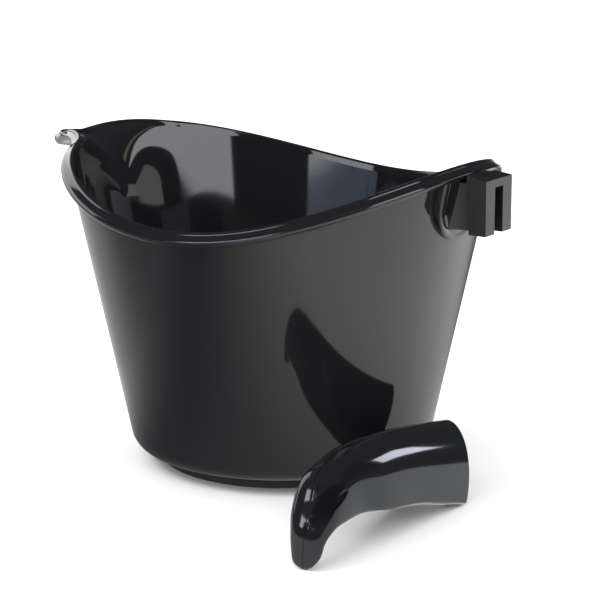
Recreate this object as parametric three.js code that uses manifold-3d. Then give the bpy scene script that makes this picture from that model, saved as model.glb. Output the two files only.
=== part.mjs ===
// A salon tint bowl with a pouring spout and a loose clip-on handle, in millimetres, +Z up.
// The origin is the centre of the resting face. +X points at the handle's mounting block, and the
// spout is at -X. The handle lies on the table beside the bowl, as it does before it is clipped on.
import * as THREE from "three";
import { mergeVertices } from "three/addons/utils/BufferGeometryUtils.js";
import Module from "manifold-3d";

const wasm = await Module();
wasm.setup();

// ---------- driving dimensions ----------
const GAP = 0.3; // between pieces that touch
const FAR = 100; // past the object's edge, for the blocks that cut

// Bowl: a cone with a rounded lower corner
const BOWL_FLOOR_Z = 3.7; // underside of the bowl's floor
const WALL_R0 = 44.6; // outer radius, if the cone ran down to the table
const WALL_SLOPE = 0.216; // outward run for each unit of height
const WALL_THICKNESS = 1.84; // measured level
const FLOOR_THICKNESS = 2.2;
const CORNER_RADIUS = 6.5;
const INNER_CORNER_RADIUS = 4.9;
const WALL_LEVELS = [36, 60, 71.7]; // where the plain wall has a ring of corners
const STRETCH_START = 12; // the wall's height follows the rim's wave above this
const BOWL_SECTORS = 84;
const SPOUT_CROWDING = 0.6; // how much closer the sectors are at the spout

// Rim: its height over one turn, as a mean and three waves of the angle from the mounting block
const RIM_MEAN = 89.7;
const RIM_TILT = -0.9;
const RIM_SADDLE = 8.2;
const RIM_THIRD = 0.8;
const LIP_RADIUS = 0.9; // the thin upper lip
const BEAD_RADIUS = 1.3; // the rolled bead under it
const BEAD_DROP = 2.7; // from the rim's top to the bead's centre
const BEAD_OFFSET = 0.7; // the bead's centre, outside the wall
const BEAD_BOTTOM = 4.1; // from the rim's top to where the wall starts again

// Spout: the wall and rim drawn out to a beak, deepest at its lip
const SPOUT_REACH = 26.7;
const SPOUT_HALF_ANGLE = 23; // degrees
const SPOUT_TIP_ANGLE = 2; // degrees over which the beak's point is rounded
const SPOUT_SHARPNESS = 2.1;
const SPOUT_DIP = 4.0; // how far the lip is below the rim's crest
const SPOUT_DIP_SPREAD = 2.2;
const SPOUT_LIP_SHARE = 0.55; // share of the reach that fades within SPOUT_LIP_DEPTH
const SPOUT_LIP_DEPTH = 1.6;
const SPOUT_DEPTH = 18;
const SPOUT_THROAT = 1.6; // how fast the rest of the reach fades over SPOUT_DEPTH
const SPOUT_ROOT = 0.25; // share of the wall's height over which the fade may start
const SPOUT_INNER_DEPTHS = [14, 10, 7, 4.8, 3, 1.8];
const SPOUT_OUTER_DEPTHS = [4.3, 6.5, 9.5, 13];
const SPOUT_THICKENING = 1.8; // how much later the outside fades than the inside

// Pad: the raised U-shaped boss that carries the mounting block
const PAD_HALF_WIDTH = 13.4;
const PAD_TOP_Z = 95;
const PAD_BOTTOM_Z = 75.2;
const PAD_PROUD = 1.4;
const PAD_SINK = 1.6; // how far the pad reaches into the wall
const PAD_BEVEL = 0.5;
const POCKET = { width: 8.6, low: 81.4, high: 91, floorX: 62.7 };

// Mounting block: a T-shaped rail, its head slotted from below
const HEAD_BACK_X = 70.2;
const HEAD_FACE_X = 75.8;
const HEAD_HALF_WIDTH = 7.4;
const HEAD_BOTTOM_Z = 78.6;
const HEAD_TOP_Z = 95.4;
const HEAD_TOP_SLOPE = 8; // degrees down towards the face
const NECK_HALF_WIDTH = 4.9;
const NECK_FLARE = 3.6; // extra half width where it meets the pad
const NECK_CURVE = 2.6; // how far out from the wall the flare turns
const NECK_BOTTOM_Z = 79.4;
const SLOT_WIDTH = 4.6;
const SLOT_DEPTH = 5;
const SLOT_TOP_Z = 92.2;
const BEAD_CLEARANCE = { low: 93.1, radius: 68.2 }; // room left for the bowl's bead
const JOIN = 1; // how far two joined forms run into each other

// Non-slip base
const BASE_RADIUS = 37.4;
const BASE_CHAMFER = 0.6;

// Handle: stations from the socket to the tip. Each has the profile's upper point, its lower
// point (distance from the tip, height) and half the width. share is the part of the section
// above its widest level, and round is how square its upper half is (2 is an ellipse).
const HANDLE_STATIONS = [
  { top: [80.1, 21.9], bottom: [71.2, 0], half: 11.2, share: 0.95, round: 1.85 },
  { top: [64.7, 24.6], bottom: [61.6, 2.2], half: 10.6, share: 0.89, round: 1.88 },
  { top: [46.1, 27.4], bottom: [46.8, 6.3], half: 9.8, share: 0.91, round: 1.94 },
  { top: [27.7, 29], bottom: [30.8, 9.2], half: 9.2, share: 0.94, round: 2.03 },
  { top: [15, 28.2], bottom: [19.6, 11], half: 7.8, share: 0.87, round: 2.25 },
  { top: [6.6, 24.6], bottom: [10.8, 10.7], half: 7.5, share: 0.78, round: 2.5 },
  { top: [3.2, 17.6], bottom: [5.3, 9.7], half: 6.8, share: 0.72, round: 2.6 },
  { top: [0.5, 10.8], bottom: [3, 7], half: 5.4, share: 0.7, round: 2.6 },
  { top: [-0.5, 5.5], bottom: [2, 3.2], half: 4.5, share: 0.66, round: 2.5 },
  { top: [-0.8, 1.3], bottom: [0.7, 1.8], half: 3.2, share: 0.66, round: 2.55 },
  { top: [-0.1, 0], bottom: [0.8, 0], half: 1.1, share: 0.7, round: 2.4 },
];
const HANDLE_TIP = [66.1, -84.8]; // where the tip meets the table
const HANDLE_TURN = 92.4; // degrees from +X to the direction tip to socket
const HANDLE_RINGS = 30;
const HANDLE_SIDES = 32;
const HANDLE_WALL = 2;
const HANDLE_CAVITY = { start: 0.02, end: 0.36, rings: 10 }; // shares of the handle's length
const LOWER_ROUNDNESS = { socket: 4.5, tip: 3 }; // how square a section's lower half is
// Socket: a T-shaped channel, open at the end and below, with a closed upper end
const LIP_THICKNESS = 2.2;
const MOUTH_HALF_WIDTH = 5.6;
const CHANNEL_HALF_WIDTH = 7.7;
const CHANNEL_DEPTH = 6.4;
const CHANNEL_TOP = 13;
const BULKHEAD = 2; // wall behind the channel
const KEY_THICKNESS = 4;
const KEY_LOW = 4.6;
const KEY_SETBACK = 1.2; // from the channel's lips to the key
const KEY_SEAT_DEPTH = 6; // how far the key runs on through the bulkhead
const KEY_HEEL = { extra: 2, length: 2.9, shorter: 1.4 };
// Thumb scoop in the right shoulder of the bend: an ellipsoid that runs out through the front
const SCOOP = {
  centre: [2.7, -2.9, 15.5],
  depth: 3,
  length: 16,
  width: 5,
  rise: 20, // degrees up along its length
  turn: 11, // degrees about its length
  yaw: -11,
};

const RAD = Math.PI / 180;

// ---------- colours ----------
const gloss = () =>
  new THREE.MeshStandardMaterial({ color: 0x0d0d0f, roughness: 0.08, metalness: 0 });
const satin = () =>
  new THREE.MeshStandardMaterial({ color: 0x2a2928, roughness: 0.5, metalness: 0 });
const rubber = () =>
  new THREE.MeshStandardMaterial({ color: 0x141416, roughness: 0.75, metalness: 0 });

// ---------- solids ----------
function solid(geometry) {
  const plain = geometry.clone();
  plain.deleteAttribute("normal");
  plain.deleteAttribute("uv");
  const merged = mergeVertices(plain, 1e-4);
  return new wasm.Manifold(
    new wasm.Mesh({
      numProp: 3,
      vertProperties: merged.attributes.position.array,
      triVerts: new Uint32Array(merged.index.array),
    }),
  );
}

function geometryOf(body) {
  const mesh = body.getMesh();
  const geometry = new THREE.BufferGeometry();
  geometry.setAttribute("position", new THREE.BufferAttribute(mesh.vertProperties, 3));
  geometry.setIndex(new THREE.BufferAttribute(mesh.triVerts, 1));
  geometry.computeVertexNormals();
  return geometry;
}

// A box between two corners.
function box(low, high) {
  const size = low.map((value, i) => high[i] - value);
  const middle = low.map((value, i) => (high[i] + value) / 2);
  return new THREE.BoxGeometry(...size).translate(...middle);
}

function eachVertex(geometry, change) {
  const position = geometry.attributes.position;
  const point = new THREE.Vector3();
  for (let i = 0; i < position.count; i++) {
    point.fromBufferAttribute(position, i);
    change(point);
    position.setXYZ(i, point.x, point.y, point.z);
  }
  return geometry;
}

// ---------- bowl ----------
const wallRadius = (z) => WALL_R0 + WALL_SLOPE * z;

function rimHeight(angle) {
  return (
    RIM_MEAN +
    RIM_TILT * Math.cos(angle) +
    RIM_SADDLE * Math.cos(2 * angle) +
    RIM_THIRD * Math.cos(3 * angle)
  );
}

// 1 at the beak's point and 0 outside the spout, for an angle from -X.
function spoutShare(angle) {
  const away = Math.hypot(angle / RAD, SPOUT_TIP_ANGLE) / SPOUT_HALF_ANGLE;
  return away < 1 ? (1 - away) ** SPOUT_SHARPNESS : 0;
}

// How much of the reach is left at a depth below the rim.
function spoutFade(depth) {
  const lip = SPOUT_LIP_SHARE * Math.exp(-depth / SPOUT_LIP_DEPTH);
  const throat = Math.max(0, 1 - depth / SPOUT_DEPTH) ** SPOUT_THROAT;
  return lip + (1 - SPOUT_LIP_SHARE) * throat;
}

function arc(centre, radius, from, to, steps) {
  return Array.from({ length: steps + 1 }, (_, i) => {
    const angle = (from + ((to - from) * i) / steps) * RAD;
    return [centre[0] + radius * Math.cos(angle), centre[1] + radius * Math.sin(angle)];
  });
}

// The wall's lower corner: an arc that touches the floor's level and the wall.
function corner(floorZ, radius, level, steps) {
  const tilt = Math.atan(WALL_SLOPE) / RAD;
  const centreZ = floorZ + radius;
  const centreR = wallRadius(centreZ) - level - radius * Math.hypot(1, WALL_SLOPE);
  return arc([centreR, centreZ], radius, -90, -tilt, steps);
}

// The bowl's section at the rim's mean height, from the axis up the inside and down the outside.
// Each point is [radius, height, depth]: depth is what the spout's fade is read at.
function bowlSection() {
  const floorTop = BOWL_FLOOR_Z + FLOOR_THICKNESS;
  const inner = (z) => [wallRadius(z) - WALL_THICKNESS, z, RIM_MEAN - z];
  const outerTop = RIM_MEAN - BEAD_BOTTOM + SPOUT_THICKENING;
  const outer = (z) => [wallRadius(z), z, Math.max(0, outerTop - z)];
  const rimR = wallRadius(RIM_MEAN);
  const lipCentre = [rimR - WALL_THICKNESS + LIP_RADIUS, RIM_MEAN - LIP_RADIUS];
  const beadCentre = [rimR + BEAD_OFFSET, RIM_MEAN - BEAD_DROP];
  const atRim = ([r, z]) => [r, z, 0];
  const atFloor = ([r, z]) => [r, z, SPOUT_DEPTH];
  const below = (depth) => RIM_MEAN - depth;
  return [
    [0, floorTop, SPOUT_DEPTH],
    ...corner(floorTop, INNER_CORNER_RADIUS, WALL_THICKNESS, 4).map(atFloor),
    ...WALL_LEVELS.map(inner),
    ...SPOUT_INNER_DEPTHS.map((depth) => inner(below(depth))),
    ...arc(lipCentre, LIP_RADIUS, 180, 10, 4).map(atRim),
    ...arc(beadCentre, BEAD_RADIUS, 75, -90, 5).map(atRim),
    ...SPOUT_OUTER_DEPTHS.map((depth) => outer(below(depth))),
    ...WALL_LEVELS.map(outer).reverse(),
    ...corner(BOWL_FLOOR_Z, CORNER_RADIUS, 0, 5).map(atFloor).reverse(),
    [0, BOWL_FLOOR_Z, SPOUT_DEPTH],
  ];
}

const between0and1 = (value) => Math.min(1, Math.max(0, value));

function bowlShell() {
  const section = bowlSection();
  const outline = section.map(([r, z]) => new THREE.Vector2(r, z));
  const geometry = new THREE.LatheGeometry(outline.reverse(), BOWL_SECTORS);
  const depths = section.map(([, , depth]) => depth).reverse();
  const position = geometry.attributes.position;
  for (let i = 0; i < position.count; i++) {
    const z = position.getY(i);
    const r = Math.hypot(position.getX(i), position.getZ(i));
    const sector = Math.floor(i / outline.length) % BOWL_SECTORS;
    const even = (sector / BOWL_SECTORS) * 2 * Math.PI - Math.PI;
    const fromSpout = even - SPOUT_CROWDING * Math.sin(even);
    const angle = fromSpout + Math.PI;
    const share = spoutShare(fromSpout);
    const dip = SPOUT_DIP * between0and1(share * share * SPOUT_DIP_SPREAD);
    const rise = rimHeight(angle) - RIM_MEAN - dip;
    const ramp = (z - STRETCH_START) / (RIM_MEAN - BEAD_BOTTOM - STRETCH_START);
    const lift = rise * between0and1(ramp);
    const fade = spoutFade(depths[i % outline.length]) * between0and1(ramp / SPOUT_ROOT);
    const radius = r > 0 ? r + WALL_SLOPE * lift + SPOUT_REACH * share * fade : 0;
    position.setXYZ(i, radius * Math.cos(angle), radius * Math.sin(angle), z + lift);
  }
  return geometry;
}

// The pad's plate leans with the wall, so it is drawn upright and then tilted about its lower edge.
function pad() {
  const height = PAD_TOP_Z - PAD_BOTTOM_Z;
  const shape = new THREE.Shape();
  shape.moveTo(-PAD_HALF_WIDTH, height);
  shape.lineTo(-PAD_HALF_WIDTH, PAD_HALF_WIDTH);
  shape.absarc(0, PAD_HALF_WIDTH, PAD_HALF_WIDTH, Math.PI, 2 * Math.PI, false);
  shape.lineTo(PAD_HALF_WIDTH, height);
  shape.closePath();
  const plate = new THREE.ExtrudeGeometry(shape, {
    depth: PAD_SINK + PAD_PROUD - 2 * PAD_BEVEL,
    bevelEnabled: true,
    bevelThickness: PAD_BEVEL,
    bevelSize: PAD_BEVEL,
    bevelOffset: -PAD_BEVEL,
    bevelSegments: 1,
    curveSegments: 12,
  });
  return plate
    .translate(0, 0, PAD_BEVEL - PAD_SINK)
    .rotateX(Math.PI / 2)
    .rotateZ(Math.PI / 2)
    .rotateY(Math.atan(WALL_SLOPE))
    .translate(wallRadius(PAD_BOTTOM_Z), 0, PAD_BOTTOM_Z);
}

function bowlBody() {
  const half = POCKET.width / 2;
  const pocket = box([POCKET.floorX, -half, POCKET.low], [HEAD_BACK_X, half, POCKET.high]);
  return solid(bowlShell()).add(solid(pad())).subtract(solid(pocket));
}

// ---------- mounting block ----------
function neckPlan() {
  const wide = NECK_HALF_WIDTH + NECK_FLARE;
  const backX = wallRadius(NECK_BOTTOM_Z);
  const turnX = backX + NECK_CURVE;
  const frontX = HEAD_BACK_X + JOIN;
  const plan = new THREE.Shape();
  plan.moveTo(backX, -wide);
  plan.quadraticCurveTo(turnX, -NECK_HALF_WIDTH, frontX, -NECK_HALF_WIDTH);
  plan.lineTo(frontX, NECK_HALF_WIDTH);
  plan.quadraticCurveTo(turnX, NECK_HALF_WIDTH, backX, wide);
  plan.closePath();
  return plan;
}

function mountBlock() {
  const rise = HEAD_TOP_Z - NECK_BOTTOM_Z;
  const neck = new THREE.ExtrudeGeometry(neckPlan(), {
    depth: rise,
    bevelEnabled: false,
    curveSegments: 8,
  }).translate(0, 0, NECK_BOTTOM_Z);
  const head = box(
    [HEAD_BACK_X, -HEAD_HALF_WIDTH, HEAD_BOTTOM_Z],
    [HEAD_FACE_X, HEAD_HALF_WIDTH, HEAD_TOP_Z],
  );
  // Everything behind the pad's face is cut away, and then the tenon is added.
  const padNormal = Math.hypot(1, WALL_SLOPE);
  const behindPad = box([-FAR, -FAR, -FAR], [(PAD_PROUD + GAP) * padNormal, FAR, FAR])
    .applyMatrix4(new THREE.Matrix4().makeShear(0, 0, 0, 0, WALL_SLOPE, 0))
    .translate(wallRadius(PAD_BOTTOM_Z), 0, PAD_BOTTOM_Z);
  const tenon = box(
    [POCKET.floorX + GAP, GAP - POCKET.width / 2, POCKET.low + GAP],
    [HEAD_BACK_X - JOIN, POCKET.width / 2 - GAP, POCKET.high - GAP],
  );
  const slot = box(
    [HEAD_FACE_X - SLOT_DEPTH, -SLOT_WIDTH / 2, HEAD_BOTTOM_Z - JOIN],
    [HEAD_FACE_X + JOIN, SLOT_WIDTH / 2, SLOT_TOP_Z],
  );
  const aboveTop = box([-FAR, -FAR, 0], [FAR, FAR, FAR])
    .rotateY(HEAD_TOP_SLOPE * RAD)
    .translate(HEAD_BACK_X, 0, HEAD_TOP_Z);
  const bead = new THREE.CylinderGeometry(BEAD_CLEARANCE.radius, BEAD_CLEARANCE.radius, FAR, 96)
    .rotateX(Math.PI / 2)
    .translate(0, 0, BEAD_CLEARANCE.low + FAR / 2);
  return solid(neck)
    .add(solid(head))
    .subtract(solid(behindPad))
    .add(solid(tenon))
    .subtract(solid(slot))
    .subtract(solid(aboveTop))
    .subtract(solid(bead));
}

// ---------- non-slip base ----------
function nonSlipBase() {
  const top = BOWL_FLOOR_Z - GAP;
  const rim = [
    [0, 0],
    [BASE_RADIUS - BASE_CHAMFER, 0],
    [BASE_RADIUS, BASE_CHAMFER],
    [BASE_RADIUS, top],
    [0, top],
  ];
  const outline = rim.map(([r, z]) => new THREE.Vector2(r, z));
  return new THREE.LatheGeometry(outline, 72).rotateX(Math.PI / 2);
}

// ---------- handle ----------
const stationCurve = (pick) =>
  new THREE.CatmullRomCurve3(
    HANDLE_STATIONS.map((station) => new THREE.Vector3(...pick(station))),
    false,
    "centripetal",
  );
const upperCurve = stationCurve(({ top, half }) => [top[0], top[1], half]);
const lowerCurve = stationCurve(({ bottom, half }) => [bottom[0], bottom[1], half]);
const formCurve = stationCurve(({ share, round }) => [share, round, 0]);

const power = (value, exponent) => Math.sign(value) * Math.abs(value) ** exponent;

// A tapering tube along the stations: x is across, y along (tip to socket) and z is up.
function handleForm(start, end, rings, inset) {
  const tube = new THREE.CylinderGeometry(1, 1, 1, HANDLE_SIDES, rings);
  return eachVertex(tube, (point) => {
    const along = start + (end - start) * (0.5 - point.y);
    const upper = upperCurve.getPoint(along);
    const lower = lowerCurve.getPoint(along);
    const rise = new THREE.Vector2(upper.x - lower.x, upper.y - lower.y);
    const height = rise.length() - 2 * inset;
    const half = upper.z - inset;
    rise.normalize();
    const { x: share, y: round } = formCurve.getPoint(along);
    const { socket, tip } = LOWER_ROUNDNESS;
    const widest = inset + height * (1 - share);
    const level = point.z > 0 ? height * share : height * (1 - share);
    const roundness = 2 / (point.z > 0 ? round : socket + (tip - socket) * along);
    const up = widest + level * power(point.z, roundness);
    point.set(half * power(point.x, roundness), lower.x + rise.x * up, lower.y + rise.y * up);
  });
}

// The socket's end lies in a plane that leans by the first station's slant.
const END = HANDLE_STATIONS[0];
const END_LEAN = (END.top[0] - END.bottom[0]) / (END.top[1] - END.bottom[1]);

// A block inside the socket: back and front are distances in from its leaning end.
function socketBlock(half, front, back, low, high) {
  const block = box([-half, END.bottom[0] - back, low], [half, END.bottom[0] - front, high]);
  return block.applyMatrix4(new THREE.Matrix4().makeShear(0, 0, 0, 0, 0, END_LEAN));
}

function scoop() {
  return new THREE.SphereGeometry(1, 32, 20)
    .scale(SCOOP.depth, SCOOP.length, SCOOP.width)
    .rotateX(SCOOP.rise * RAD)
    .rotateY(SCOOP.turn * RAD)
    .rotateZ(SCOOP.yaw * RAD)
    .translate(...SCOOP.centre);
}

const CHANNEL_BACK = LIP_THICKNESS + CHANNEL_DEPTH;

// Both halves of the handle's casing, before it is split at the middle plane.
function handleCasing() {
  const outside = solid(handleForm(0, 1, HANDLE_RINGS, 0));
  const hollow = handleForm(HANDLE_CAVITY.start, HANDLE_CAVITY.end, HANDLE_CAVITY.rings, HANDLE_WALL);
  const socketZone = socketBlock(FAR, -FAR, CHANNEL_BACK + BULKHEAD, -FAR, FAR);
  const cavity = solid(hollow).subtract(solid(socketZone));
  const channel = socketBlock(CHANNEL_HALF_WIDTH, LIP_THICKNESS, CHANNEL_BACK, -FAR, CHANNEL_TOP);
  const mouth = socketBlock(MOUTH_HALF_WIDTH, -FAR, CHANNEL_BACK, -FAR, CHANNEL_TOP);
  const keySeat = socketBlock(
    KEY_THICKNESS / 2 + GAP,
    CHANNEL_BACK - JOIN,
    CHANNEL_BACK + KEY_SEAT_DEPTH,
    KEY_LOW - GAP,
    CHANNEL_TOP,
  );
  return outside
    .subtract(cavity)
    .subtract(solid(channel))
    .subtract(solid(mouth))
    .subtract(solid(keySeat))
    .subtract(solid(scoop()));
}

function handleShell(casing, side) {
  const keep = side > 0 ? [GAP / 2, FAR] : [-FAR, -GAP / 2];
  return casing.intersect(solid(box([keep[0], -FAR, -FAR], [keep[1], FAR, FAR])));
}

// The key that enters the block's slot, with a wider heel behind the bulkhead.
function lockingKey() {
  const half = KEY_THICKNESS / 2;
  const heelFront = CHANNEL_BACK + BULKHEAD + GAP;
  const heelBack = heelFront + KEY_HEEL.length;
  const tip = LIP_THICKNESS + KEY_SETBACK;
  const blade = socketBlock(half, tip, heelBack - GAP, KEY_LOW, CHANNEL_TOP - GAP);
  const heel = socketBlock(
    half + KEY_HEEL.extra,
    heelFront,
    heelBack,
    KEY_LOW + KEY_HEEL.shorter,
    CHANNEL_TOP - KEY_HEEL.shorter,
  );
  return solid(blade).add(solid(heel));
}

// ---------- assembly ----------
function mesh(name, geometry, material) {
  const piece = new THREE.Mesh(geometry, material);
  piece.name = name;
  return piece;
}

const bowl = new THREE.Group();
bowl.add(
  mesh("bowl_body", geometryOf(bowlBody()), gloss()),
  mesh("handle_mount_block", geometryOf(mountBlock()), satin()),
  mesh("non_slip_base", nonSlipBase(), rubber()),
);

const handle = new THREE.Group();
const casing = handleCasing();
handle.add(
  mesh("handle_left_shell", geometryOf(handleShell(casing, -1)), gloss()),
  mesh("handle_right_shell", geometryOf(handleShell(casing, 1)), gloss()),
  mesh("handle_locking_key", geometryOf(lockingKey()), satin()),
);
handle.position.set(...HANDLE_TIP, 0);
handle.rotation.z = (HANDLE_TURN - 90) * RAD;

const part = new THREE.Group();
part.add(bowl, handle);

export default part;
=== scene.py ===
import itertools
import math

import bmesh
import bpy
import numpy as np
from mathutils import Matrix, Vector

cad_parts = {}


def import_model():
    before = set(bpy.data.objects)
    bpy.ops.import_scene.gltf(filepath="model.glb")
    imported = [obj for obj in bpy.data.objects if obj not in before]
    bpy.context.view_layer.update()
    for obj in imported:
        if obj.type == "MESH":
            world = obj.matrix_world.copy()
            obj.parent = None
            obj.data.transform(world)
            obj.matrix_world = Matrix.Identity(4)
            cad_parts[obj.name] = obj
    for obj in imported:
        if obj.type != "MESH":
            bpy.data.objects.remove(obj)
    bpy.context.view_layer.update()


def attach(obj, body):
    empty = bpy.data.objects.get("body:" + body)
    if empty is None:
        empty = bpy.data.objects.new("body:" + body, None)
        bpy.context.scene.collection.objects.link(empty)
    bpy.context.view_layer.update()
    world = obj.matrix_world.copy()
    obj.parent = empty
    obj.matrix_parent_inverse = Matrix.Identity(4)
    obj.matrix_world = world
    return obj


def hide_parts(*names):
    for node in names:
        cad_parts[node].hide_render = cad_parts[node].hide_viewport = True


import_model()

# A salon tint bowl with a pouring spout and a loose clip-on handle. Shapes are worked out in
# millimetres in the CAD model's frame, and become metres when a mesh is made.
MM = 0.001
SMOOTH_ANGLE = 35  # edges that bend by more degrees than this stay sharp
BEVEL_SEGMENTS, BEVEL_ANGLE = 3, 30
OVERRUN = 1  # how far a solid runs past the face that it cuts or joins
SKIN = 0.01  # keeps the faces of two cutters apart
MERGE_DISTANCE = 1e-7  # metres

# ---------- driving dimensions: bowl ----------
BOWL_FLOOR_Z = 3.7
WALL_R0 = 44.6
WALL_SLOPE = 0.216
WALL_THICKNESS = 1.84
FLOOR_THICKNESS = 2.2
CORNER_RADIUS = 6.5
INNER_CORNER_RADIUS = 4.9
STRETCH_START = 12
BOWL_SECTORS = 360
SPOUT_CROWDING = 0.6
RIM_MEAN, RIM_TILT, RIM_SADDLE, RIM_THIRD = 89.7, -0.9, 8.2, 0.8
LIP_RADIUS = 0.9
BEAD_RADIUS = 1.3
BEAD_DROP = 2.7
BEAD_OFFSET = 0.7
BEAD_BOTTOM = 4.1
SPOUT_REACH = 26.7
SPOUT_HALF_ANGLE = 23
SPOUT_TIP_ANGLE = 2
SPOUT_SHARPNESS = 2.1
SPOUT_DIP = 4.0
SPOUT_DIP_SPREAD = 2.2
SPOUT_LIP_SHARE = 0.55
SPOUT_LIP_DEPTH = 1.6
SPOUT_DEPTH = 18
SPOUT_THROAT = 1.6
SPOUT_ROOT = 0.25
SPOUT_LEDGE = 1.8
# Rows of the bowl's section: (from, to, number) in height on the plain wall, and depth and number
# near the rim
INNER_WALL_ROWS = (13, 66, 14)
INNER_RIM_DEPTH, INNER_RIM_ROWS = 20, 28
OUTER_WALL_ROWS = (62, 12, 12)
OUTER_RIM_DEPTH, OUTER_RIM_ROWS = 24, 22
WALL_TOP_DEPTH, WALL_ROW_STEP = 4.3, 0.8
LEDGE_ROWS, LEDGE_DEPTH = 9, 2  # under the bead, down to the plain wall
INNER_CORNER_STEPS, OUTER_CORNER_STEPS = 10, 14
LIP_ARC, BEAD_ARC = (180, 10, 12), (75, -90, 18)  # from, to in degrees, steps
FLOOR_RADII = (0, 10, 20, 30, 38)
UNDERSIDE_RADII = (36, 24, 12, 0)
# Pad
PAD_HALF_WIDTH = 13.4
PAD_TOP_Z = 94.6
PAD_BOTTOM_Z = 75.2
PAD_PROUD = 1.4
PAD_SINK = 1.2
PAD_EDGE_RADIUS = 0.8
PAD_GROOVE = ((1.7, 0), (1.9, 0.12), (2.2, 0.2), (2.5, 0.12), (2.7, 0))  # inset and depth
PAD_ARC_STEPS = 48
# Mounting block
HEAD_BACK_X, HEAD_FACE_X = 70.2, 75.8
HEAD_HALF_WIDTH = 7.4
HEAD_BOTTOM_Z, HEAD_TOP_Z = 78.6, 95.4
HEAD_TOP_SLOPE = 8
NECK_HALF_WIDTH = 4.9
NECK_FLARE = 3.6
NECK_CURVE = 2.6
NECK_BOTTOM_Z = 79.4
SLOT_WIDTH, SLOT_DEPTH, SLOT_TOP_Z = 4.6, 5, 92.2
BEAD_CLEARANCE_LOW, BEAD_CLEARANCE_RADIUS, BEAD_CLEARANCE_SECTORS = 93.1, 68.2, 180
NECK_POINTS = 13
HEAD_EDGE = 0.22
# Non-slip base
BASE_RADIUS = 37.4
BASE_TOP_Z = 3.68
BASE_RECESS_Z = 0.9
BASE_RINGS = (7, 14, 21, 28)
BASE_RING = ((-1.2, BASE_RECESS_Z), (-0.9, 0.15), (0, 0), (0.9, 0.15), (1.2, BASE_RECESS_Z))  # across, up
BASE_FOOT = ((32, BASE_RECESS_Z), (32.5, 0.15), (33.2, 0))  # radius and height
BASE_FOOT_CORNER, BASE_FOOT_STEPS = 0.7, 6
BASE_NECK = ((0, 2.4), (0.12, 2.7), (0.35, 3.0), (0.4, BASE_TOP_Z))  # in from the edge, and height
BASE_SECTORS, BASE_SMOOTH_ANGLE = 240, 40
# Handle
HANDLE_STATIONS = [
    # upper point, lower point (distance from the tip, height), half the width, the share of the
    # section above its widest level, and how square its upper half is
    ((80.1, 21.9), (71.2, 0), 11.2, 0.95, 1.85),
    ((64.7, 24.6), (61.6, 2.2), 10.6, 0.89, 1.88),
    ((46.1, 27.4), (46.8, 6.3), 9.8, 0.91, 1.94),
    ((27.7, 29), (30.8, 9.2), 9.2, 0.94, 2.03),
    ((15, 28.2), (19.6, 11), 7.8, 0.87, 2.25),
    ((6.6, 24.6), (10.8, 10.7), 7.5, 0.78, 2.5),
    ((3.2, 17.6), (5.3, 9.7), 6.8, 0.72, 2.6),
    ((0.5, 10.8), (3, 7), 5.4, 0.7, 2.6),
    ((-0.5, 5.5), (2, 3.2), 4.5, 0.66, 2.5),
    ((-0.8, 1.3), (0.7, 1.8), 3.2, 0.66, 2.55),
    ((-0.1, 0), (0.8, 0), 1.1, 0.7, 2.4),
]
HANDLE_TIP = (66.1, -84.8)
HANDLE_TURN = 92.4
LOWER_ROUNDNESS = (4.5, 3)  # at the socket and at the tip
HANDLE_WALL = 2
LIP_THICKNESS = 2.2
MOUTH_HALF_WIDTH = 5.6
CHANNEL_HALF_WIDTH = 7.7
CHANNEL_DEPTH = 6.4
CHANNEL_TOP = 13
CHANNEL_BACK = LIP_THICKNESS + CHANNEL_DEPTH
BULKHEAD = 2
KEY_THICKNESS = 4
KEY_LOW = 4.6
KEY_SETBACK = 1.2
KEY_SEAT_DEPTH = 6
GAP = 0.3
FAR = 100
PARTING_GAP = 0.03
PARTING_CHAMFER = 0.14
PARTING_CHAMFER_SHARE = 0.2  # at most this share of the half width
STATION_SAMPLES, LINE_ROUNDS, FORM_ROUNDS = 24, 12, 60
OUTLINE_SAMPLES, OUTLINE_POINTS = 241, 52
CAVITY_SPAN = (0.02, 0.36)  # shares of the handle's length, from the socket
CAVITY_POINTS = 30
KEY_SIDE_GAP = 0.1
KEY_BLADE_REACH = 4.9
KEY_HEEL_REACH, KEY_HEEL_WIDER, KEY_HEEL_SHORTER = 5.2, 2, 1.4
KEY_EDGE = 0.25
# Thumb scoop in the right shoulder of the bend
SCOOP_CENTRE = (2.7, -2.9, 15.5)
SCOOP_DEPTH, SCOOP_LENGTH, SCOOP_WIDTH = 3, 16, 5
SCOOP_RISE, SCOOP_TURN, SCOOP_YAW = 20, 11, -11
SCOOP_SIDES, SCOOP_ROWS, SCOOP_POLE_ANGLE = 96, 71, 87


# ---------- mesh helpers ----------
def linked(name, data):
    """A new object in the scene that holds a mesh, a camera or a lamp."""
    item = bpy.data.objects.new(name, data)
    bpy.context.scene.collection.objects.link(item)
    return item


def make_object(name, points, faces, smooth_angle=SMOOTH_ANGLE):
    mesh = bpy.data.meshes.new(name)
    mesh.from_pydata([tuple(float(v) * MM for v in p) for p in points], [], faces)
    return finish_mesh(name, mesh, smooth_angle)


def finish_mesh(name, mesh, smooth_angle=SMOOTH_ANGLE):
    work = bmesh.new()
    work.from_mesh(mesh)
    bmesh.ops.remove_doubles(work, verts=work.verts, dist=MERGE_DISTANCE)
    bmesh.ops.recalc_face_normals(work, faces=work.faces)
    work.to_mesh(mesh)
    work.free()
    mesh.shade_smooth()
    mesh.set_sharp_from_angle(angle=math.radians(smooth_angle))
    return linked(name, mesh)


def ring_faces(rings, sides):
    """Quads between rings of points that each close on themselves."""
    faces = []
    for i in range(rings - 1):
        a, b = i * sides, (i + 1) * sides
        for j in range(sides):
            k = (j + 1) % sides
            faces.append((a + j, a + k, b + k, b + j))
    return faces


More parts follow.
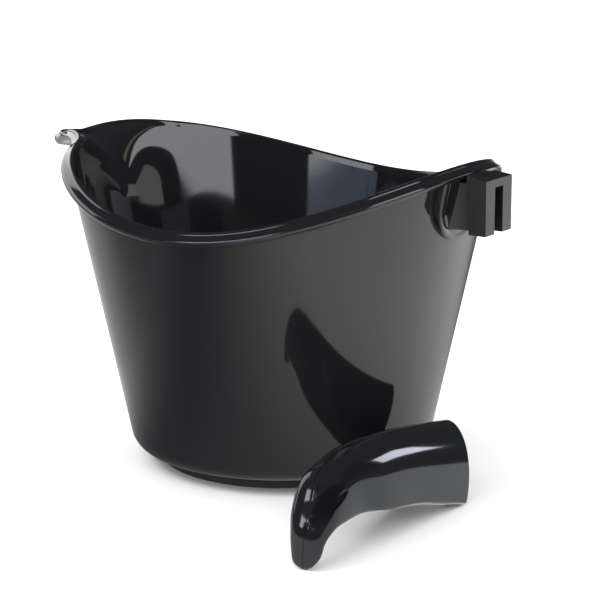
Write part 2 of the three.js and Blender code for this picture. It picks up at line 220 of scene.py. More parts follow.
def lathe(name, profile, sectors, smooth_angle=SMOOTH_ANGLE):
    """A closed turned solid: the profile starts and ends on the axis."""
    turn = np.linspace(0, 2 * np.pi, sectors, endpoint=False)
    inner = profile[1:-1]
    circle = np.column_stack((np.cos(turn), np.sin(turn)))
    rows = [np.column_stack((r * circle, np.full(sectors, z))) for r, z in inner]
    return capped(name, rows, (0, 0, profile[0][1]), (0, 0, profile[-1][1]), smooth_angle)


def capped(name, rows, first_pole, last_pole, smooth_angle=SMOOTH_ANGLE):
    """Rings of points with a pole at each end."""
    sides = len(rows[0])
    points = np.vstack([*rows, [first_pole], [last_pole]])
    faces = ring_faces(len(rows), sides)
    last = (len(rows) - 1) * sides
    pole = len(rows) * sides
    faces += [(pole, (j + 1) % sides, j) for j in range(sides)]
    faces += [(pole + 1, last + j, last + (j + 1) % sides) for j in range(sides)]
    return make_object(name, points, faces, smooth_angle)


def arc(centre, radius, start, end, steps):
    angles = np.radians(np.linspace(start, end, steps + 1))
    return np.column_stack((centre[0] + radius * np.cos(angles), centre[1] + radius * np.sin(angles)))


def block(name, low, high, matrix=None):
    """A box between two corners, in millimetres, moved by a matrix."""
    corners = list(itertools.product(*zip(low, high)))
    if matrix is not None:
        corners = [tuple(matrix @ Vector(c)) for c in corners]
    faces = [(0, 1, 3, 2), (4, 6, 7, 5), (0, 4, 5, 1), (2, 3, 7, 6), (0, 2, 6, 4), (1, 5, 7, 3)]
    return make_object(name, corners, faces)


def combine(piece, others, operation):
    """Joins others to a piece or cuts them from it, and removes them."""
    for other in others:
        modifier = piece.modifiers.new(operation, "BOOLEAN")
        modifier.operation = operation
        modifier.solver = "EXACT"
        modifier.object = other
    bpy.context.view_layer.update()
    graph = bpy.context.evaluated_depsgraph_get()
    mesh = bpy.data.meshes.new_from_object(piece.evaluated_get(graph))
    name = piece.name
    for old in [piece, *others]:
        bpy.data.objects.remove(old)
    return finish_mesh(name, mesh)


def bevel(piece, width):
    modifier = piece.modifiers.new("edge", "BEVEL")
    modifier.width = width * MM
    modifier.segments = BEVEL_SEGMENTS
    modifier.limit_method = "ANGLE"
    modifier.angle_limit = math.radians(BEVEL_ANGLE)
    modifier.harden_normals = True
    return piece


# ---------- bowl ----------
def wall_radius(z):
    return WALL_R0 + WALL_SLOPE * z


def rim_height(angle):
    waves = RIM_TILT * np.cos(angle) + RIM_SADDLE * np.cos(2 * angle) + RIM_THIRD * np.cos(3 * angle)
    return RIM_MEAN + waves


def spout_share(angle):
    """1 at the beak's point and 0 outside the spout, for an angle from -X."""
    away = np.hypot(np.degrees(angle), SPOUT_TIP_ANGLE) / SPOUT_HALF_ANGLE
    return np.clip(1 - away, 0, 1) ** SPOUT_SHARPNESS


def spout_fade(depth):
    """How much of the reach is left at a depth below the rim."""
    lip = SPOUT_LIP_SHARE * np.exp(-depth / SPOUT_LIP_DEPTH)
    return lip + (1 - SPOUT_LIP_SHARE) * np.clip(1 - depth / SPOUT_DEPTH, 0, 1) ** SPOUT_THROAT


def bowl_corner(floor_z, radius, level, steps):
    tilt = math.degrees(math.atan(WALL_SLOPE))
    centre_z = floor_z + radius
    centre_r = wall_radius(centre_z) - level - radius * math.hypot(1, WALL_SLOPE)
    return arc((centre_r, centre_z), radius, -90, -tilt, steps)


def with_depth(points, depth):
    """Adds each point's depth below the rim, which the spout's reach fades with."""
    points = np.asarray(points, float)
    return np.column_stack((points, np.broadcast_to(depth, len(points))))


def bowl_section():
    """Rows of radius, height and depth at the rim's mean height, up the inside and down the outside."""
    floor_top = BOWL_FLOOR_Z + FLOOR_THICKNESS
    rim_r = wall_radius(RIM_MEAN)

    near_rim = RIM_MEAN - np.linspace(INNER_RIM_DEPTH, LIP_RADIUS, INNER_RIM_ROWS)[:-1]
    inner_z = np.concatenate((np.linspace(*INNER_WALL_ROWS), near_rim))
    inner_depth = RIM_MEAN - inner_z
    shallow = SPOUT_LEDGE * (inner_depth - LIP_RADIUS) / (SPOUT_LEDGE - LIP_RADIUS)
    inner_depth = np.where(inner_depth > SPOUT_LEDGE, inner_depth, shallow)

    ledge = np.linspace(0, 1, LEDGE_ROWS)[1:, None]
    bead_foot = np.array([rim_r + BEAD_OFFSET, RIM_MEAN - BEAD_DROP - BEAD_RADIUS])
    wall_top_z = RIM_MEAN - WALL_TOP_DEPTH
    wall_top = np.array([wall_radius(wall_top_z), wall_top_z])
    near_rim = np.linspace(wall_top_z - WALL_ROW_STEP, RIM_MEAN - OUTER_RIM_DEPTH, OUTER_RIM_ROWS)
    outer_z = np.concatenate((near_rim, np.linspace(*OUTER_WALL_ROWS)))
    outer_depth = RIM_MEAN - BEAD_BOTTOM + SPOUT_LEDGE - outer_z

    inner_corner = bowl_corner(floor_top, INNER_CORNER_RADIUS, WALL_THICKNESS, INNER_CORNER_STEPS)
    outer_corner = bowl_corner(BOWL_FLOOR_Z, CORNER_RADIUS, 0, OUTER_CORNER_STEPS)
    lip_centre = (rim_r - WALL_THICKNESS + LIP_RADIUS, RIM_MEAN - LIP_RADIUS)
    bead_centre = (rim_r + BEAD_OFFSET, RIM_MEAN - BEAD_DROP)
    return np.vstack((
        with_depth([(r, floor_top) for r in FLOOR_RADII], SPOUT_DEPTH),
        with_depth(inner_corner, SPOUT_DEPTH),
        with_depth(np.column_stack((wall_radius(inner_z) - WALL_THICKNESS, inner_z)), inner_depth),
        with_depth(arc(lip_centre, LIP_RADIUS, *LIP_ARC), 0),
        with_depth(arc(bead_centre, BEAD_RADIUS, *BEAD_ARC), 0),
        with_depth(bead_foot + (wall_top - bead_foot) * ledge, LEDGE_DEPTH * ledge[:, 0]),
        with_depth(np.column_stack((wall_radius(outer_z), outer_z)), outer_depth),
        with_depth(outer_corner[::-1], SPOUT_DEPTH),
        with_depth([(r, BOWL_FLOOR_Z) for r in UNDERSIDE_RADII], SPOUT_DEPTH),
    ))


def bowl_shell():
    section = bowl_section()
    even = np.linspace(-np.pi, np.pi, BOWL_SECTORS, endpoint=False)
    from_spout = even - SPOUT_CROWDING * np.sin(even)
    angle = from_spout + np.pi
    share = spout_share(from_spout)
    dip = SPOUT_DIP * np.clip(share * share * SPOUT_DIP_SPREAD, 0, 1)
    rise = rim_height(angle) - RIM_MEAN - dip
    rows = []
    for r, z, depth in section[1:-1]:
        ramp = (z - STRETCH_START) / (RIM_MEAN - BEAD_BOTTOM - STRETCH_START)
        lift = rise * min(1, max(0, ramp))
        fade = spout_fade(depth) * min(1, max(0, ramp / SPOUT_ROOT))
        radius = r + WALL_SLOPE * lift + SPOUT_REACH * share * fade
        rows.append(np.column_stack((radius * np.cos(angle), radius * np.sin(angle), z + lift)))
    return capped("bowl", rows, (0, 0, section[0][1]), (0, 0, section[-1][1]))


def pad():
    """The raised U-shaped boss: offset outlines from its foot, over a rounded edge and a fine groove."""
    shoulder = PAD_PROUD - PAD_EDGE_RADIUS
    profile = [(0, -PAD_SINK), (0, shoulder)]
    profile += [tuple(p) for p in arc((PAD_EDGE_RADIUS, shoulder), PAD_EDGE_RADIUS, 162, 90, 4)]
    profile += [(inset, PAD_PROUD - depth) for inset, depth in PAD_GROOVE]
    rows = []
    for inset, height in profile:
        half = PAD_HALF_WIDTH - inset
        curve = arc((0, PAD_HALF_WIDTH), half, 180, 360, PAD_ARC_STEPS)
        top = PAD_TOP_Z - PAD_BOTTOM_Z
        outline = np.vstack(([(-half, top)], curve, [(half, top)]))
        rows.append(np.column_stack((outline[:, 0], outline[:, 1], np.full(len(outline), height))))
    lean = Matrix.Rotation(math.atan(WALL_SLOPE), 4, "Y")
    stand = Matrix(((0, 0, 1, 0), (1, 0, 0, 0), (0, 1, 0, 0), (0, 0, 0, 1)))
    place = Matrix.Translation((wall_radius(PAD_BOTTOM_Z), 0, PAD_BOTTOM_Z)) @ lean @ stand
    points = [tuple(place @ Vector(p)) for row in rows for p in row]
    sides = len(rows[0])
    faces = ring_faces(len(rows), sides)
    faces.append(tuple(range(sides)))
    faces.append(tuple(range((len(rows) - 1) * sides, len(rows) * sides))[::-1])
    return make_object("pad", points, faces)


def bowl_body():
    return combine(bowl_shell(), [pad()], "UNION")


# ---------- mounting block ----------
def extruded(name, outline, low, high):
    count = len(outline)
    points = [(x, y, z) for z in (low, high) for x, y in outline]
    faces = ring_faces(2, count)
    faces.append(tuple(range(count))[::-1])
    faces.append(tuple(range(count, 2 * count)))
    return make_object(name, points, faces)


def neck_plan():
    back = wall_radius(NECK_BOTTOM_Z)
    wide = NECK_HALF_WIDTH + NECK_FLARE
    corner = (back + NECK_CURVE, NECK_HALF_WIDTH)
    front = (HEAD_BACK_X + OVERRUN, NECK_HALF_WIDTH)
    t = np.linspace(0, 1, NECK_POINTS)[:, None]
    curve = (1 - t) ** 2 * np.array((back, wide)) + 2 * t * (1 - t) * np.array(corner)
    curve = curve + t**2 * np.array(front)
    mirrored = curve * (1, -1)
    return np.vstack((mirrored, curve[::-1]))


def mount_block():
    """The T-shaped block: a neck on the pad and a wider, slotted head, clear of the rim's bead."""
    neck = extruded("block", neck_plan(), NECK_BOTTOM_Z, HEAD_TOP_Z)
    head = block(
        "head",
        (HEAD_BACK_X, -HEAD_HALF_WIDTH, HEAD_BOTTOM_Z),
        (HEAD_FACE_X, HEAD_HALF_WIDTH, HEAD_TOP_Z + 2 * OVERRUN),
    )
    slot = block(
        "slot",
        (HEAD_FACE_X - SLOT_DEPTH, -SLOT_WIDTH / 2, HEAD_BOTTOM_Z - OVERRUN),
        (HEAD_FACE_X + OVERRUN, SLOT_WIDTH / 2, SLOT_TOP_Z),
    )
    shear = Matrix(((1, 0, WALL_SLOPE, 0), (0, 1, 0, 0), (0, 0, 1, 0), (0, 0, 0, 1)))
    foot = Matrix.Translation((wall_radius(PAD_BOTTOM_Z), 0, PAD_BOTTOM_Z))
    face = (PAD_PROUD - GAP) * math.hypot(1, WALL_SLOPE)
    behind = block("behind", (-FAR, -FAR, -FAR), (face, FAR, FAR), foot @ shear)
    tilt = Matrix.Rotation(math.radians(HEAD_TOP_SLOPE), 4, "Y")
    roof = Matrix.Translation((HEAD_BACK_X, 0, HEAD_TOP_Z)) @ tilt
    above = block("above", (-FAR, -FAR, 0), (FAR, FAR, FAR), roof)
    low, radius = BEAD_CLEARANCE_LOW, BEAD_CLEARANCE_RADIUS
    outline = [(0, low), (radius, low), (radius, 2 * FAR), (0, 2 * FAR)]
    bead_room = lathe("room", outline, BEAD_CLEARANCE_SECTORS)
    whole = combine(neck, [head], "UNION")
    whole = combine(whole, [slot, behind, above, bead_room], "DIFFERENCE")
    return bevel(whole, HEAD_EDGE)


# ---------- non-slip base ----------
def non_slip_base():
    """A rubber disc with a rounded foot, a fine neck groove and rings underneath."""
    profile = [(0, BASE_RECESS_Z)]
    for ring in BASE_RINGS:
        profile += [(ring + across, height) for across, height in BASE_RING]
    profile += BASE_FOOT
    corner = (BASE_RADIUS - BASE_FOOT_CORNER, BASE_FOOT_CORNER)
    profile += [tuple(p) for p in arc(corner, BASE_FOOT_CORNER, -90, 0, BASE_FOOT_STEPS)]
    profile += [(BASE_RADIUS - inset, height) for inset, height in BASE_NECK]
    profile.append((0, BASE_TOP_Z))
    return lathe("non_slip_base", profile, BASE_SECTORS, BASE_SMOOTH_ANGLE)


# ---------- handle ----------
def catmull_rom(points, samples):
    """A centripetal Catmull-Rom curve, with the same number of samples on each span."""
    points = np.asarray(points, float)
    padded = np.vstack((2 * points[0] - points[1], points, 2 * points[-1] - points[-2]))
    out = []
    for i in range(len(points) - 1):
        p0, p1, p2, p3 = padded[i : i + 4]
        d0, d1, d2 = (math.sqrt(np.linalg.norm(b - a)) for a, b in ((p0, p1), (p1, p2), (p2, p3)))
        m1 = d1 * ((p1 - p0) / d0 - (p2 - p0) / (d0 + d1) + (p2 - p1) / d1)
        m2 = d1 * ((p2 - p1) / d1 - (p3 - p1) / (d1 + d2) + (p3 - p2) / d2)
        t = np.linspace(0, 1, samples, endpoint=False)[:, None]
        span = (2 * t**3 - 3 * t**2 + 1) * p1 + (t**3 - 2 * t**2 + t) * m1
        span += (-2 * t**3 + 3 * t**2) * p2 + (t**3 - t**2) * m2
        out.append(span)
    return np.vstack((*out, [points[-1]]))


def smoothed(values, rounds):
    """Evens out a run of samples, and keeps its two ends."""
    values = values.copy()
    for _ in range(rounds):
        values[1:-1] += 0.25 * (values[:-2] - 2 * values[1:-1] + values[2:])
    return values


def handle_stations():
    """Upper and lower lines with half widths, and the sections' form: share, upper and lower power."""
    upper = catmull_rom([(*station[0], station[2]) for station in HANDLE_STATIONS], STATION_SAMPLES)
    lower = catmull_rom([(*station[1], station[2]) for station in HANDLE_STATIONS], STATION_SAMPLES)
    form = catmull_rom([(*station[3:], 0) for station in HANDLE_STATIONS], STATION_SAMPLES)
    form[:, 2] = np.linspace(*LOWER_ROUNDNESS, len(form))
    return smoothed(upper, LINE_ROUNDS), smoothed(lower, LINE_ROUNDS), smoothed(form, FORM_ROUNDS)


def resampled(line, count):
    """Points at even distances along a line of points."""
    run = np.concatenate(([0], np.cumsum(np.linalg.norm(np.diff(line, axis=0), axis=1))))
    at = np.linspace(0, run[-1], count)
    return np.column_stack([np.interp(at, run, line[:, k]) for k in range(line.shape[1])])


def half_section(height, half, inset, form, count):
    """One side of a section, from its top round to its bottom: distance out, and height up."""
    share, upper_power, lower_power = form
    turn = np.linspace(0, np.pi, OUTLINE_SAMPLES)
    bend = np.where(np.cos(turn) > 0, 2 / upper_power, 2 / lower_power)
    out = half * np.abs(np.sin(turn)) ** bend
    level = np.where(np.cos(turn) > 0, share, 1 - share) * height
    up = inset + height * (1 - share) + level * np.sign(np.cos(turn)) * np.abs(np.cos(turn)) ** bend
    return resampled(np.column_stack((out, up)), count)


def handle_half(name, side, inset=0.0, start=0.0, end=1.0, count=OUTLINE_POINTS):
    """One half of the handle's form: the sections' outline on one side, closed by the parting plane."""
    upper, lower, form = handle_stations()
    first, last = int(start * (len(upper) - 1)), int(end * (len(upper) - 1))
    rings = []
    for i in range(first, last + 1):
        rise = upper[i, :2] - lower[i, :2]
        length = np.linalg.norm(rise)
        rise = rise / length
        half = upper[i, 2] - inset
        outline = half_section(length - 2 * inset, half, inset, form[i], count)
        chamfer = min(PARTING_CHAMFER, PARTING_CHAMFER_SHARE * half) if inset == 0 else 0
        outline[:, 0] = np.maximum(outline[:, 0], PARTING_GAP + chamfer)
        if chamfer:
            top = (PARTING_GAP, outline[0, 1] - chamfer)
            bottom = (PARTING_GAP, outline[-1, 1] + chamfer)
            outline = np.vstack((top, outline, bottom))
        along = lower[i, 0] + rise[0] * outline[:, 1]
        up = lower[i, 1] + rise[1] * outline[:, 1]
        rings.append(np.column_stack((side * outline[:, 0], along, up)))
    sides = len(rings[0])
    points = np.vstack(rings)
    faces = ring_faces(len(rings), sides)
    faces.append(tuple(range(sides))[::-1])
    faces.append(tuple(range((len(rings) - 1) * sides, len(rings) * sides)))
    return make_object(name, points, faces)


END_TOP, END_BOTTOM = HANDLE_STATIONS[0][:2]
END_LEAN = (END_TOP[0] - END_BOTTOM[0]) / (END_TOP[1] - END_BOTTOM[1])
LEAN = Matrix(((1, 0, 0, 0), (0, 1, END_LEAN, 0), (0, 0, 1, 0), (0, 0, 0, 1)))


def socket_block(name, half, front, back, low, high):
    """A box that leans as the socket's end face does; front and back are depths behind that face."""
    low_corner = (-half, END_BOTTOM[0] - back, low)
    return block(name, low_corner, (half, END_BOTTOM[0] - front, high), LEAN)


def scoop():
    """The ellipsoid that cuts the scoop, and runs out through the front of the tip."""
    turn = np.linspace(0, 2 * np.pi, SCOOP_SIDES, endpoint=False)
    rows = [
        np.column_stack((
            SCOOP_DEPTH * math.cos(a) * np.cos(turn),
            np.full(len(turn), SCOOP_LENGTH * math.sin(a)),
            SCOOP_WIDTH * math.cos(a) * np.sin(turn),
        ))
        for a in np.radians(np.linspace(-SCOOP_POLE_ANGLE, SCOOP_POLE_ANGLE, SCOOP_ROWS))
    ]
    place = Matrix.Translation(SCOOP_CENTRE)
    for angle, axis in ((SCOOP_YAW, "Z"), (SCOOP_TURN, "Y"), (SCOOP_RISE, "X")):
        place = place @ Matrix.Rotation(math.radians(angle), 4, axis)
    spin, move = np.array(place.to_3x3()), np.array(place.to_translation())
    ends = [spin @ np.array((0, s * SCOOP_LENGTH, 0)) + move for s in (-1, 1)]
    return capped("scoop", [row @ spin.T + move for row in rows], ends[0], ends[1])


def place_handle(piece):
    """Turns the handle about its tip and moves it to where it lies."""
    turn = Matrix.Rotation(math.radians(HANDLE_TURN - 90), 4, "Z")
    piece.data.transform(Matrix.Translation(Vector((*HANDLE_TIP, 0)) * MM) @ turn)
    return piece


def handle_shell(name, side):
    """One half of the handle, hollow behind its channel. The right half, side 1, has the scoop."""
    shell = handle_half(name, side)
    cavity = handle_half("cavity", side, HANDLE_WALL, *CAVITY_SPAN, CAVITY_POINTS)
    zone = socket_block("zone", FAR, -FAR, CHANNEL_BACK + BULKHEAD, -FAR, FAR)
    cavity = combine(cavity, [zone], "DIFFERENCE")
    channel = socket_block("channel", CHANNEL_HALF_WIDTH, LIP_THICKNESS, CHANNEL_BACK, -FAR, CHANNEL_TOP)
    mouth = socket_block(
        "mouth", MOUTH_HALF_WIDTH, -FAR, CHANNEL_BACK - SKIN, -FAR, CHANNEL_TOP - SKIN
    )
    seat_half, seat_back = KEY_THICKNESS / 2 + KEY_SIDE_GAP, CHANNEL_BACK + KEY_SEAT_DEPTH
    seat = socket_block(
        "seat", seat_half, CHANNEL_BACK - OVERRUN, seat_back, KEY_LOW - GAP, CHANNEL_TOP - 2 * SKIN
    )
    cutters = [cavity, channel, mouth, seat]
    if side > 0:
        cutters.append(scoop())
    return place_handle(combine(shell, cutters, "DIFFERENCE"))


def locking_key():
    """A blade that stands in the channel, with a wider heel behind the bulkhead."""
    half, front = KEY_THICKNESS / 2, LIP_THICKNESS + KEY_SETBACK
    blade = socket_block(
        "handle_locking_key", half, front, CHANNEL_BACK + KEY_BLADE_REACH, KEY_LOW, CHANNEL_TOP - GAP
    )
    heel = socket_block(
        "heel",
        half + KEY_HEEL_WIDER,
        CHANNEL_BACK + BULKHEAD + GAP,
        CHANNEL_BACK + KEY_HEEL_REACH,
        KEY_LOW + KEY_HEEL_SHORTER,
        CHANNEL_TOP - KEY_HEEL_SHORTER,
    )
    return place_handle(bevel(combine(blade, [heel], "UNION"), KEY_EDGE))


# ---------- materials ----------
SMEAR_SCALE, SMEAR_LOW, SMEAR_HIGH = 38, 0.3, 0.75
WAVE_SCALE = 26


def node(tree, kind, **inputs):
    made = tree.nodes.new(kind)
    for key, value in inputs.items():
        made.inputs[key].default_value = value
    return made


def plastic(name, colour, roughness, rough_spread, grain_scale, grain_height, wave_height=0.0):
    """A plastic with smears in its roughness, a fine grain and maybe a slow wave, heights in metres."""
    material = bpy.data.materials.new(name)
    material.use_nodes = True
    tree = material.node_tree
    shader = tree.nodes["Principled BSDF"]
    shader.inputs["Base Color"].default_value = (*colour, 1)
    where = tree.nodes.new("ShaderNodeTexCoord")
    smears = node(tree, "ShaderNodeTexNoise", Scale=SMEAR_SCALE, Detail=5, Roughness=0.6)
    tree.links.new(where.outputs["Object"], smears.inputs["Vector"])
    spread = node(tree, "ShaderNodeMapRange")
    spread.inputs["From Min"].default_value = SMEAR_LOW
    spread.inputs["From Max"].default_value = SMEAR_HIGH
    spread.inputs["To Min"].default_value = roughness - rough_spread
    spread.inputs["To Max"].default_value = roughness + rough_spread
    tree.links.new(smears.outputs["Fac"], spread.inputs["Value"])
    tree.links.new(spread.outputs["Result"], shader.inputs["Roughness"])
    grain = node(tree, "ShaderNodeTexNoise", Scale=grain_scale, Detail=3)
    tree.links.new(where.outputs["Object"], grain.inputs["Vector"])
    bump = node(tree, "ShaderNodeBump", Strength=1, Distance=grain_height)
    tree.links.new(grain.outputs["Fac"], bump.inputs["Height"])
    if wave_height:
        wave = node(tree, "ShaderNodeTexNoise", Scale=WAVE_SCALE, Detail=1)
        tree.links.new(where.outputs["Object"], wave.inputs["Vector"])
        swell = node(tree, "ShaderNodeBump", Strength=1, Distance=wave_height)
        tree.links.new(wave.outputs["Fac"], swell.inputs["Height"])
        tree.links.new(swell.outputs["Normal"], bump.inputs["Normal"])
    tree.links.new(bump.outputs["Normal"], shader.inputs["Normal"])
    return material


# ---------- studio ----------
WHITE = (1, 1, 1)
CAMERA_AZIMUTH, CAMERA_ELEVATION = math.radians(34.4), math.radians(13.31)
CAMERA_DISTANCE = 0.7173
CAMERA_TARGET = Vector((0.00467, 0.0032, 0.04876))
CAMERA_LENS, SENSOR_WIDTH = 139.9, 36
CLIP_START, CLIP_END = 0.01, 50

KEY_CENTRE, KEY_AIM = (-0.75, -0.85, 1.25), (0, 0, 0.05)
KEY_SIZE, KEY_RADIANCE = (0.7, 0.5), 8
SKY_COLOUR = (1.6, 1.6, 1.6)
ROOM_COLOUR = (0.05, 0.055, 0.065)  # what gloss reflects where there is no panel

TABLE_HALF = 4
TABLE_COLOUR, TABLE_ROUGHNESS = (0.95, 0.95, 0.95), 0.8
# The table as each body's gloss reflects it: height, strength, colour
TABLE_SEEN_BY_BOWL = (0, 1, (1, 0.985, 0.96))
TABLE_SEEN_BY_HANDLE = (-0.0005, 0.95, (0.97, 0.99, 1))
# Painted light and shade in that glow for the bowl, with a painted shadow in front of it: from and to in
# metres, and the values at those two places
TABLE_RIGHT_ALONG_X = (-0.03, 0.15, 0.10, 1.85)
TABLE_RIGHT_ALONG_Y = (-0.2, 0.1, 0.8, 1.0)
TABLE_LEFT_ALONG_X = (-0.10, -0.03, 0.62, 0.0)
TABLE_LEFT_ALONG_Y = (-0.13, -0.03, 0.35, 1.0)

CARD_CENTRE, CARD_DISTANCE = (0, 0, 0.05), 1.6
CARD_COLUMNS, CARD_ROWS = 9, 5
# each row: name, azimuth, elevation, radiance, colour, and the body that reflects it (None for both)
CARDS = [
    ("card_window_a", (65.5, 101), (12.1, 44), 4.5, (0.97, 0.98, 1.04), "bowl"),
    ("card_window_b", (-24, 18), (15.35, 34.5), 4.5, (0.95, 0.97, 1.06), "bowl"),
    ("card_window_b_sill", (-27, 18), (0, 15.35), 1.0, (0.75, 0.9, 1.2), "bowl"),
    ("card_panel_c", (114.7, 145), (7, 25), 1.2, WHITE, "bowl"),
    ("card_panel_left", (-128, -68), (4, 40), 2.2, WHITE, None),
    ("card_strip", (30, 100), (50, 54), 1.6, (1, 0.85, 0.62), "bowl"),
    ("card_handle_window", (147, 157.2), (8.6, 15), 7, (0.93, 0.96, 1.08), "handle"),
    ("card_handle_tip", (-34, -5), (9.5, 17), 7, (0.93, 0.96, 1.08), "handle"),
]


def direction(azimuth, elevation):
    """A unit vector from the object: azimuth 0 is -Y and turns towards +X. Both are in radians."""
    level = math.cos(elevation)
    return math.sin(azimuth) * level, -math.cos(azimuth) * level, math.sin(elevation)


def turn_to(item, view):
    """Turns a camera or a lamp to look along a vector."""
    item.rotation_mode = "QUATERNION"
    item.rotation_quaternion = view.to_track_quat("-Z", "Y")


def camera():
    data = bpy.data.cameras.new("camera")
    data.lens = CAMERA_LENS
    data.sensor_width = SENSOR_WIDTH
    data.clip_start, data.clip_end = CLIP_START, CLIP_END
    seen_from = linked("camera", data)
    back = Vector(direction(CAMERA_AZIMUTH, CAMERA_ELEVATION))
    seen_from.location = CAMERA_TARGET + back * CAMERA_DISTANCE
    turn_to(seen_from, -back)
    bpy.context.scene.camera = seen_from


def softbox(name, centre, aim, size, radiance):
    """An area light that gloss doesn't reflect."""
    data = bpy.data.lights.new(name, "AREA")
    data.shape = "RECTANGLE"
    data.size, data.size_y = size
    data.energy = radiance * math.pi * size[0] * size[1]
    lamp = linked(name, data)
    lamp.location = centre
    turn_to(lamp, Vector(aim) - Vector(centre))
    lamp.visible_camera = lamp.visible_glossy = False


def emission(name, colour, strength):
    material = bpy.data.materials.new(name)
    material.use_nodes = True
    tree = material.node_tree
    tree.nodes.remove(tree.nodes["Principled BSDF"])
    glow = node(tree, "ShaderNodeEmission", Color=(*colour, 1), Strength=strength)
    tree.links.new(glow.outputs["Emission"], tree.nodes["Material Output"].inputs["Surface"])
    return material, glow


def card(name, azimuth, elevation, radiance, colour):
    """A glowing panel that only reflections see: its span is given in degrees around the bowl."""
    columns = np.radians(np.linspace(*azimuth, CARD_COLUMNS))
    rows = np.radians(np.linspace(*elevation, CARD_ROWS))
    centre = np.array(CARD_CENTRE)
    points = [tuple(centre + CARD_DISTANCE * np.array(direction(a, e))) for e in rows for a in columns]
    faces = []
    for i in range(CARD_ROWS - 1):
        for j in range(CARD_COLUMNS - 1):
            corner = i * CARD_COLUMNS + j
            above = corner + CARD_COLUMNS
            faces.append((corner, corner + 1, above + 1, above))
    mesh = bpy.data.meshes.new(name)
    mesh.from_pydata(points, [], faces)
    mesh.materials.append(emission(name, colour, radiance)[0])
    panel = linked(name, mesh)
    panel.visible_camera = panel.visible_diffuse = panel.visible_shadow = False
    return panel


def table_plane(name, material):
    """A square on z = 0, for the table itself and for its reflections."""
    corners = [(-1, -1, 0), (1, -1, 0), (1, 1, 0), (-1, 1, 0)]
    mesh = bpy.data.meshes.new(name)
    mesh.from_pydata([tuple(TABLE_HALF * v for v in corner) for corner in corners], [], [(0, 1, 2, 3)])
    mesh.materials.append(material)
    return linked(name, mesh)


def floor():
    """The table that the camera sees. Gloss doesn't reflect it: the table cards stand in for it."""
    material = bpy.data.materials.new("white_table")
    material.use_nodes = True
    shader = material.node_tree.nodes["Principled BSDF"]
    shader.inputs["Base Color"].default_value = (*TABLE_COLOUR, 1)
    shader.inputs["Roughness"].default_value = TABLE_ROUGHNESS
    plane = table_plane("floor", material)
    plane.visible_glossy = False


def table_card(name, height, strength, colour, seen_by):
    """The table as one body's gloss reflects it, see-through so that the other body skips it."""
    material, glow = emission(name, colour, strength)
    tree = material.node_tree
    clear = tree.nodes.new("ShaderNodeBsdfTransparent")
    both = tree.nodes.new("ShaderNodeAddShader")
    tree.links.new(glow.outputs["Emission"], both.inputs[0])
    tree.links.new(clear.outputs["BSDF"], both.inputs[1])
    tree.links.new(both.outputs["Shader"], tree.nodes["Material Output"].inputs["Surface"])
    plane = table_plane(name, material)
    plane.location.z = height
    plane.visible_camera = plane.visible_diffuse = plane.visible_shadow = False
    plane.light_linking.receiver_collection = seen_by
    return tree, glow


def painted_table_light_and_shade(tree, glow):
    """Paints light and shade on the table that the bowl's gloss reflects: dim in front of the bowl as a
    painted shadow, brighter to the left and brightest to the right.
    """
    where = tree.nodes.new("ShaderNodeTexCoord")
    axes = tree.nodes.new("ShaderNodeSeparateXYZ")
    tree.links.new(where.outputs["Object"], axes.inputs["Vector"])

    def ramp(axis, low, high, start, end):
        span = {"From Min": low, "From Max": high, "To Min": start, "To Max": end}
        step = node(tree, "ShaderNodeMapRange", **span)
        step.interpolation_type = "SMOOTHSTEP"
        tree.links.new(axes.outputs[axis], step.inputs["Value"])
        return step.outputs["Result"]

    def joined(operation, one, other):
        maths = tree.nodes.new("ShaderNodeMath")
        maths.operation = operation
        tree.links.new(one, maths.inputs[0])
        tree.links.new(other, maths.inputs[1])
        return maths.outputs["Value"]

    right = joined("MULTIPLY", ramp("X", *TABLE_RIGHT_ALONG_X), ramp("Y", *TABLE_RIGHT_ALONG_Y))
    left = joined("MULTIPLY", ramp("X", *TABLE_LEFT_ALONG_X), ramp("Y", *TABLE_LEFT_ALONG_Y))
    tree.links.new(joined("ADD", right, left), glow.inputs["Strength"])


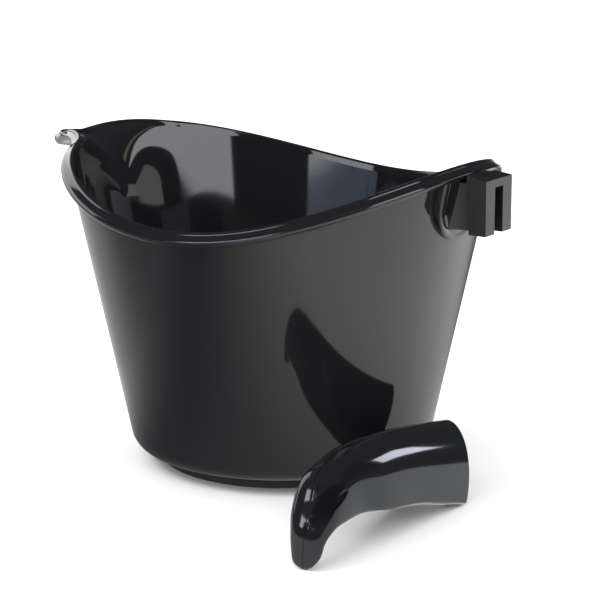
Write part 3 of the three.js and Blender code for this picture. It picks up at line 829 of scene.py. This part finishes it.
def world():
    """A white sky for the lighting, and a dark room for what gloss reflects."""
    sky = bpy.data.worlds.new("studio")
    bpy.context.scene.world = sky
    sky.use_nodes = True
    tree = sky.node_tree
    background = tree.nodes["Background"]
    path = tree.nodes.new("ShaderNodeLightPath")
    mix = tree.nodes.new("ShaderNodeMix")
    mix.data_type = "RGBA"
    mix.inputs["A"].default_value = (*SKY_COLOUR, 1)
    mix.inputs["B"].default_value = (*ROOM_COLOUR, 1)
    tree.links.new(path.outputs["Is Glossy Ray"], mix.inputs["Factor"])
    tree.links.new(mix.outputs["Result"], background.inputs["Color"])


# ---------- build ----------
gloss = plastic(
    "gloss_black",
    (0.0078, 0.008, 0.0092),
    roughness=0.07,
    rough_spread=0.025,
    grain_scale=900,
    grain_height=0.0000015,
    wave_height=0.00002,
)
satin = plastic(
    "satin_black",
    (0.008, 0.0077, 0.0074),
    roughness=0.4,
    rough_spread=0.06,
    grain_scale=2200,
    grain_height=0.00003,
)
rubber = plastic(
    "rubber_black",
    (0.014, 0.014, 0.015),
    roughness=0.68,
    rough_spread=0.08,
    grain_scale=1800,
    grain_height=0.00004,
)

# each row: piece, its name, the body it rides on, the node it replaces, its slot and its material
PIECES = [
    (bowl_body(), "bowl_moulding", "bowl", "bowl_body", "gloss_black", gloss),
    (mount_block(), "mounting_block", "bowl", "handle_mount_block", "satin_black", satin),
    (non_slip_base(), "rubber_base", "bowl", "non_slip_base", "rubber_black", rubber),
    (handle_shell("left", -1), "handle_left_half", "handle", "handle_left_shell", "gloss_black", gloss),
    (handle_shell("right", 1), "handle_right_half", "handle", "handle_right_shell", "gloss_black", gloss),
    (locking_key(), "locking_key", "handle", "handle_locking_key", "satin_black", satin),
]
for piece, name, body, node_name, slot, material in PIECES:
    piece.name = name
    piece.data.materials.clear()
    piece.data.materials.append(material)
    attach(piece, body)
    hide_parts(node_name)

camera()
floor()
world()
receivers = {}
for piece, name, body, *_ in PIECES:
    if body not in receivers:
        receivers[body] = bpy.data.collections.new("seen_by_" + body)
    receivers[body].objects.link(piece)
# the table that the bowl reflects carries painted shade in front of the bowl and painted light to its
# sides
painted_table_light_and_shade(*table_card("table_seen_by_bowl", *TABLE_SEEN_BY_BOWL, receivers["bowl"]))
table_card("table_seen_by_handle", *TABLE_SEEN_BY_HANDLE, receivers["handle"])
for name, azimuth, elevation, radiance, colour, seen_by in CARDS:
    panel = card(name, azimuth, elevation, radiance, colour)
    if seen_by:
        panel.light_linking.receiver_collection = receivers[seen_by]
softbox("key", KEY_CENTRE, KEY_AIM, KEY_SIZE, KEY_RADIANCE)
bpy.context.scene.view_settings.view_transform = "Standard"
